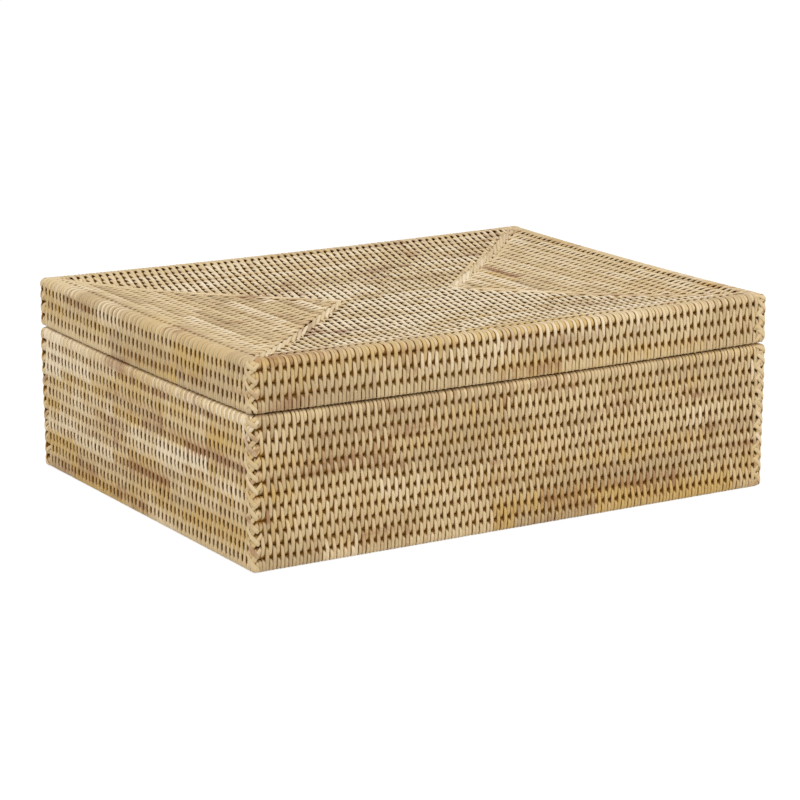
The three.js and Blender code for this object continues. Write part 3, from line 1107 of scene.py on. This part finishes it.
# %% Rings round rods
ROD_POINTS = 16
ROD_FULLNESS = 0.88
RING_SHARES = list(np.linspace(-1, 1, 9)[:-1])
BEFORE_CORNER = 0.995
SPINE_TIP = 0.5


def rod_section(half_wide, half_high):
    """Points round a rod that is pressed by its neighbours."""
    turn = 2 * math.pi * np.arange(ROD_POINTS) / ROD_POINTS
    wide = np.sign(np.cos(turn)) * np.abs(np.cos(turn)) ** ROD_FULLNESS
    high = np.sign(np.sin(turn)) * np.abs(np.sin(turn)) ** ROD_FULLNESS
    return half_wide * wide, half_high * high


def panel_loop(sides, inset, height, half_inset, half_height):
    """Rings of points, (steps, points, 3), all the way round a panel, with one at each mitre."""
    wide, high = rod_section(half_inset, half_height)
    insets = inset + wide
    return np.array([
        side.place(share * (side.half_length - insets), insets, height + high)
        for side in sides for share in RING_SHARES
    ])


def wall_loop(sides, inset, half_inset, bottom, top):
    """Rings all the way round a wall. bottom and top give the rod's heights on each side."""
    rings = []
    for side in sides:
        low, high = bottom(side), top(side)
        wide, tall = rod_section(half_inset, (high - low) / 2)
        insets = inset + wide
        for share in RING_SHARES + [BEFORE_CORNER]:
            along = share * (side.half_length - insets)
            rings.append(side.place(along, insets, (low + high) / 2 + tall))
    return np.array(rings)


def spine_rod(side, low, high, half_depth, half_height):
    """Rings along one straight rod with small ends, settled like the rest of that side."""
    wide, tall = rod_section(half_depth, half_height)
    middle = (low + high) / 2
    rings = []
    for along, size in ((low[0], SPINE_TIP), (low[0] + MM, 1.0), (high[0] - MM, 1.0), (high[0], SPINE_TIP)):
        insets = side.half_depth + middle[1] + size * wide
        rings.append(side.place(along + 0 * wide, insets, middle[2] + size * tall))
    return np.array(rings)


print("rings round a panel's rod:", 4 * len(RING_SHARES))

# %% A set of rods
ROD_OVERLAP = 0.30 * MM
STRIP_COVER = 1.25 * MM
PANEL_COVER = 1.9 * MM
EDGE_COVER = 1.7 * MM


class RodSet:
    """The rods of one body, as one mesh that stands for their CAD courses."""

    def __init__(self, name, body):
        self.name = name
        self.body = body
        self.places, self.faces, self.nodes = [], [], []
        self.first = 0

    def add(self, rings, node, closed):
        steps, points = rings.shape[:2]
        index = self.first + np.arange(steps * points).reshape(steps, points)
        ahead = np.roll(index, -1, axis=0) if closed else index[1:]
        here = index if closed else index[:-1]
        quads = np.stack([here, np.roll(here, -1, 1), np.roll(ahead, -1, 1), ahead], axis=-1)
        self.faces += quads.reshape(-1, 4).tolist()
        if not closed:
            self.faces += [index[0, ::-1].tolist(), index[-1].tolist()]
        self.places.append(rings.reshape(-1, 3))
        self.first += steps * points
        self.nodes.append(node)

    def add_wall(self, sides, node, wall, is_first, is_last):
        low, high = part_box(node)

        def bottom(side):
            return low.z + EDGE_COVER if is_first else low.z - side.drop - ROD_OVERLAP

        def top(side):
            return high.z - EDGE_COVER if is_last else high.z - side.drop + ROD_OVERLAP

        inset = sides[1].half_depth - high.x + wall / 2
        self.add(wall_loop(sides, inset, wall / 2 - STRIP_COVER, bottom, top), node, closed=True)

    def add_panel(self, sides, node, high_corner, pitch):
        low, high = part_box(node)
        inset = high_corner[1] - high.y + pitch / 2
        half_height = (high.z - low.z) / 2 - PANEL_COVER
        rings = panel_loop(sides, inset, (low.z + high.z) / 2, pitch / 2 + ROD_OVERLAP, half_height)
        self.add(rings, node, closed=True)

    def add_spine(self, front, node):
        low, high = (np.array(corner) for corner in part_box(node))
        half = (high - low) / 2
        for edge in (low[1], high[1]):
            near, far = low.copy(), high.copy()
            near[1] = far[1] = edge / 2
            rings = spine_rod(front, near, far, half[1] / 2 + ROD_OVERLAP, half[2] - PANEL_COVER)
            self.add(rings, node, closed=False)

    def build(self):
        mesh = bpy.data.meshes.new(self.name)
        mesh.from_pydata(np.concatenate(self.places).tolist(), [], self.faces)
        mesh.shade_smooth()
        mesh.materials.append(rod_cane)
        piece = put(self.name, mesh)
        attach(piece, self.body)
        nodes = list(dict.fromkeys(self.nodes))
        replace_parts(piece, *nodes)
        print(self.name, "stands for", len(nodes), "courses")


print("rods overlap by", round(2 * ROD_OVERLAP / MM, 1), "mm where two courses meet")

# %% Rods of the base and the lid
def lay_rods(body, sides, walls, panel, spine, high, grooves):
    """All the rods of one body. walls gives each wall course's node and thickness, the lowest first."""
    rods = RodSet(body + "_rods", body)
    for number, (node, wall) in enumerate(walls):
        rods.add_wall(sides, node, wall, number == 0, number == len(walls) - 1)
    for node in panel:
        rods.add_panel(sides, node, high, grooves[2][0] - grooves[1][0])
    rods.add_spine(sides[0], spine)
    rods.build()


base_walls = [(node, BASE_WALL) for node in BASE_COURSES]
lid_walls = [(node, LID_WALL) for node in LID_COURSES] + [("lid_rim", lid_top[0][0])]
lay_rods("base", base_sides, base_walls, FLOOR_COURSES, "floor_spine", wall_high, floor_top)
lay_rods("lid", lid_sides, lid_walls, LID_TOP_COURSES, "lid_top_spine", lid_high, lid_top)

# %% [markdown]
# ## Corner lashings
# Up each upright corner the courses are tied by strands that cross. A long one leans down to the left over
# nearly two courses, and a shorter one lies over it and leans down to the right. They give the corner its
# fishbone look and hide the turn of the rods.

# %% Corner strands
LASHING_CORNERS = {"front": "front_left", "right": "front_right", "back": "rear_right", "left": "rear_left"}
STRAND_HALF = 1.45 * MM
STRAND_STEPS = 16
STRAND_DIVE = 4.0 * MM
STRAND_DIVE_POWER = 2.4
STRAND_DIVE_SHARE = 0.8
STRAND_TAPER = 0.45
STRAND_SLANT = 0.4
STRAND_WIDTH_RANGE = (0.92, 1.06)
STRAND_TINT_SPREAD = (0.3, 0.12, 0.12)
LENGTH_SPREAD = 0.8 * MM
TOP_SPREAD = 0.9
BOTTOM_SPREAD = 0.6
COURSE = 8.0 * MM
# How far below the lowest groove and above the highest one strands start.
BASE_LASH_ENDS = (9 * MM, 8.4 * MM)
LID_LASH_ENDS = (8.4 * MM, 7 * MM)
# Each strand's place right of the corner at its top and its bottom in mm, its lift, its length in courses.
STRANDS = ((6.4, -8.8, 0.35 * MM, 1.9), (-7.6, 5.2, 0.80 * MM, 1.5))


def at_both_ends(share, length, reach, power):
    """1 at either end of a strand of that length, and less with the distance from it."""
    return fade(share * length, reach, power) + fade((1 - share) * length, reach, power)


def lash_corner(skin, side, levels, bundle, seed):
    """Strands over the corner at the left end of that side, between those levels of the skin."""
    rng = np.random.default_rng(seed)
    share = np.linspace(0, 1, STRAND_STEPS)
    for start in range(-1, len(levels) - 1):
        for top, bottom, lift, courses in STRANDS:
            low = levels[max(start, 0)]
            high = min(low + courses * COURSE + rng.normal(0, LENGTH_SPREAD), levels[-1])
            top += rng.normal(0, TOP_SPREAD)
            bottom += rng.normal(0, BOTTOM_SPREAD)
            travel = (high + (low - high) * share)[None]
            along = -side.corner_line + (top + (bottom - top) * share)[None] * MM
            run = np.abs(high - low) + abs(top - bottom) * MM * STRAND_SLANT
            ends = at_both_ends(share, run, STRAND_DIVE, STRAND_DIVE_POWER)
            depth = (lift - (END_DEPTH + lift) * STRAND_DIVE_SHARE * ends)[None]
            half = STRAND_HALF * rng.uniform(*STRAND_WIDTH_RANGE) * (1 - STRAND_TAPER * ends)[None]
            inset, height, out, up = skin.at(travel)
            normals = side.facing(along, out, up)
            middles = side.place(along, inset - depth * out, height + depth * up)
            rings = ribbon(middles[:, ::-1], normals[:, ::-1], -half, half, FINE_SECTION)
            tint = rng.normal(0, STRAND_TINT_SPREAD)[None]
            bundle.add(rings, FINE_SECTION, np.minimum(depth, 0), tint)


def lash_levels(grooves, below, above):
    """Where strands start: at each groove, and at one level below and one above them all."""
    return np.concatenate([[grooves[0] - below], grooves, [grooves[-1] + above]])


base_levels = lash_levels(base_outside.grooves[1:-1], *BASE_LASH_ENDS)
lid_levels = lash_levels(lid_outside.grooves[1:LID_WALL_ROWS], *LID_LASH_ENDS)
for number, side_name in enumerate(DIRECTIONS):
    corner = LASHING_CORNERS[side_name]
    for body, skin, side, levels, seed in (
        ("base", base_outside, base_sides[number], base_levels, SEEDS["base_strands"]),
        ("lid", lid_outside, lid_sides[number], lid_levels, SEEDS["lid_strands"]),
    ):
        strands = Bundle(body + "_corner_strands_" + corner, body, lashing_cane, "lashing_cane")
        lash_corner(skin, side, levels, strands, seed + number)
        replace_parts(strands.build(), body + "_lashing_" + corner)

# %% [markdown]
# ## Mitre seams
# Where two sides of the lid's top meet, flat strands run almost along the mitre. Each reaches over two
# courses and passes from the one side to the other, so together they look like a plait. A flat strip under
# the plait and one beside it make its bed, and close the ends of the courses.

# %% Mitre strands
SEAM_HALF = 1.25 * MM
SEAM_SWING = 3.8 * MM
SEAM_LIFTS = (-0.35 * MM, 0.25 * MM)
SEAM_DIVE = 3 * MM
SEAM_DIVE_POWER = 2.0
SEAM_DEPTH = 1.3 * MM
SEAM_TAPER = 0.35
SEAM_SPREAD = 0.5 * MM
SWING_RANGE = (0.7, 1.3)
SEAM_WIDTH_RANGE = (0.9, 1.08)
SEAM_TINT = (0.25, -0.25, 0)
SEAM_TINT_SPREAD = (0.35, 0.15, 0.12)
BED_TINT = np.array([[0.2, -0.2, -0.1]])
# Each bed strip's near and far edge from the mitre and its depth, in mm.
BEDS = ((-4.0, 2.2, 1.1), (4.3, 9.0, 0.6))


def lay_beds(skin, side, first_row, bundle):
    travel = np.linspace(skin.grooves[first_row], skin.grooves[-2], 4 * STRAND_STEPS)[None]
    inset, height, out, up = skin.at(travel)
    normals = side.facing(np.zeros_like(travel), out, up)
    for near, far, depth in BEDS:
        reach = (near, far) if side.is_long else (-far, -near)
        left, right = (r * MM * np.ones_like(travel) for r in reach)
        middles = side.place(side.half_length - inset, inset + depth * MM * out, height - depth * MM * up)
        bed = ribbon(middles, normals, left, right, FINE_SECTION)
        bundle.add(bed, FINE_SECTION, np.zeros_like(travel), BED_TINT)


def plait_mitre(skin, side, first_row, bundle, seed):
    """Strands along the mitre at the right end of that side, from that course of the skin to its spine."""
    rng = np.random.default_rng(seed)
    lay_beds(skin, side, first_row, bundle)
    share = np.linspace(0, 1, STRAND_STEPS)
    for start in range(first_row, skin.rows - 1):
        low, high = skin.grooves[start], skin.grooves[min(start + 2, skin.rows - 1)]
        for swing, lift in zip((-SEAM_SWING, SEAM_SWING), SEAM_LIFTS):
            travel = (low + (high - low) * share)[None]
            inset, height, out, up = skin.at(travel)
            bend = swing * rng.uniform(*SWING_RANGE)
            along = side.half_length - inset + bend * (1 - 2 * share) + rng.normal(0, SEAM_SPREAD)
            ends = at_both_ends(share, high - low, SEAM_DIVE, SEAM_DIVE_POWER)
            depth = (lift - SEAM_DEPTH * ends)[None]
            half = SEAM_HALF * rng.uniform(*SEAM_WIDTH_RANGE) * (1 - SEAM_TAPER * ends)[None]
            normals = side.facing(np.zeros_like(along), out, up)
            middles = side.place(along, inset - depth * out, height + depth * up)
            rings = ribbon(middles, normals, -half, half, FINE_SECTION)
            tint = rng.normal(SEAM_TINT, SEAM_TINT_SPREAD)[None]
            bundle.add(rings, FINE_SECTION, np.minimum(depth, 0), tint)


seam = Bundle("lid_top_seam_strands", "lid")
inner_seam = Bundle("lid_inside_seam_strands", "lid")
floor_seam = Bundle("floor_seam_strands", "base")
for number, side in enumerate(lid_sides):
    plait_mitre(lid_outside, side, LID_WALL_ROWS, seam, SEEDS["top_seam"] + number)
    plait_mitre(lid_inside, side, LID_LINING_WALL_ROWS, inner_seam, SEEDS["inner_seam"] + number)
for number, side in enumerate(base_sides):
    plait_mitre(base_inside, side, inside_rows - 1, floor_seam, SEEDS["floor_seam"] + number)
    plait_mitre(floor_underside, side, 0, floor_seam, SEEDS["underside_seam"] + number)
for bundle in (seam, inner_seam, floor_seam):
    bundle.build()

# %% [markdown]
# ## The lip
# A thin bent lath stands inside the mouth and keeps the lid in line. It is plain wood, so the CAD piece
# itself is shown, with a fine grain that runs round the box.

# %% Lip finish
LATH_LIGHT = srgb(190, 144, 80)
LATH_DARK = srgb(158, 112, 56)

lath = plain_finish(
    "lip_lath",
    noise={"Scale": 1.0, "Detail": 4.0, "Roughness": 0.6},
    limits=(0.3, 0.7),
    colours=(LATH_LIGHT, LATH_DARK),
    bump={"Strength": 0.2, "Distance": 0.2 * MM},
    roughness=(0.5, 0.15),
    stretch=(12.0, 12.0, 900.0),
)
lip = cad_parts["base_lip"]
lip.data.materials.clear()
lip.data.materials.append(lath)
print("lip finish:", lip.data.materials[0].name)
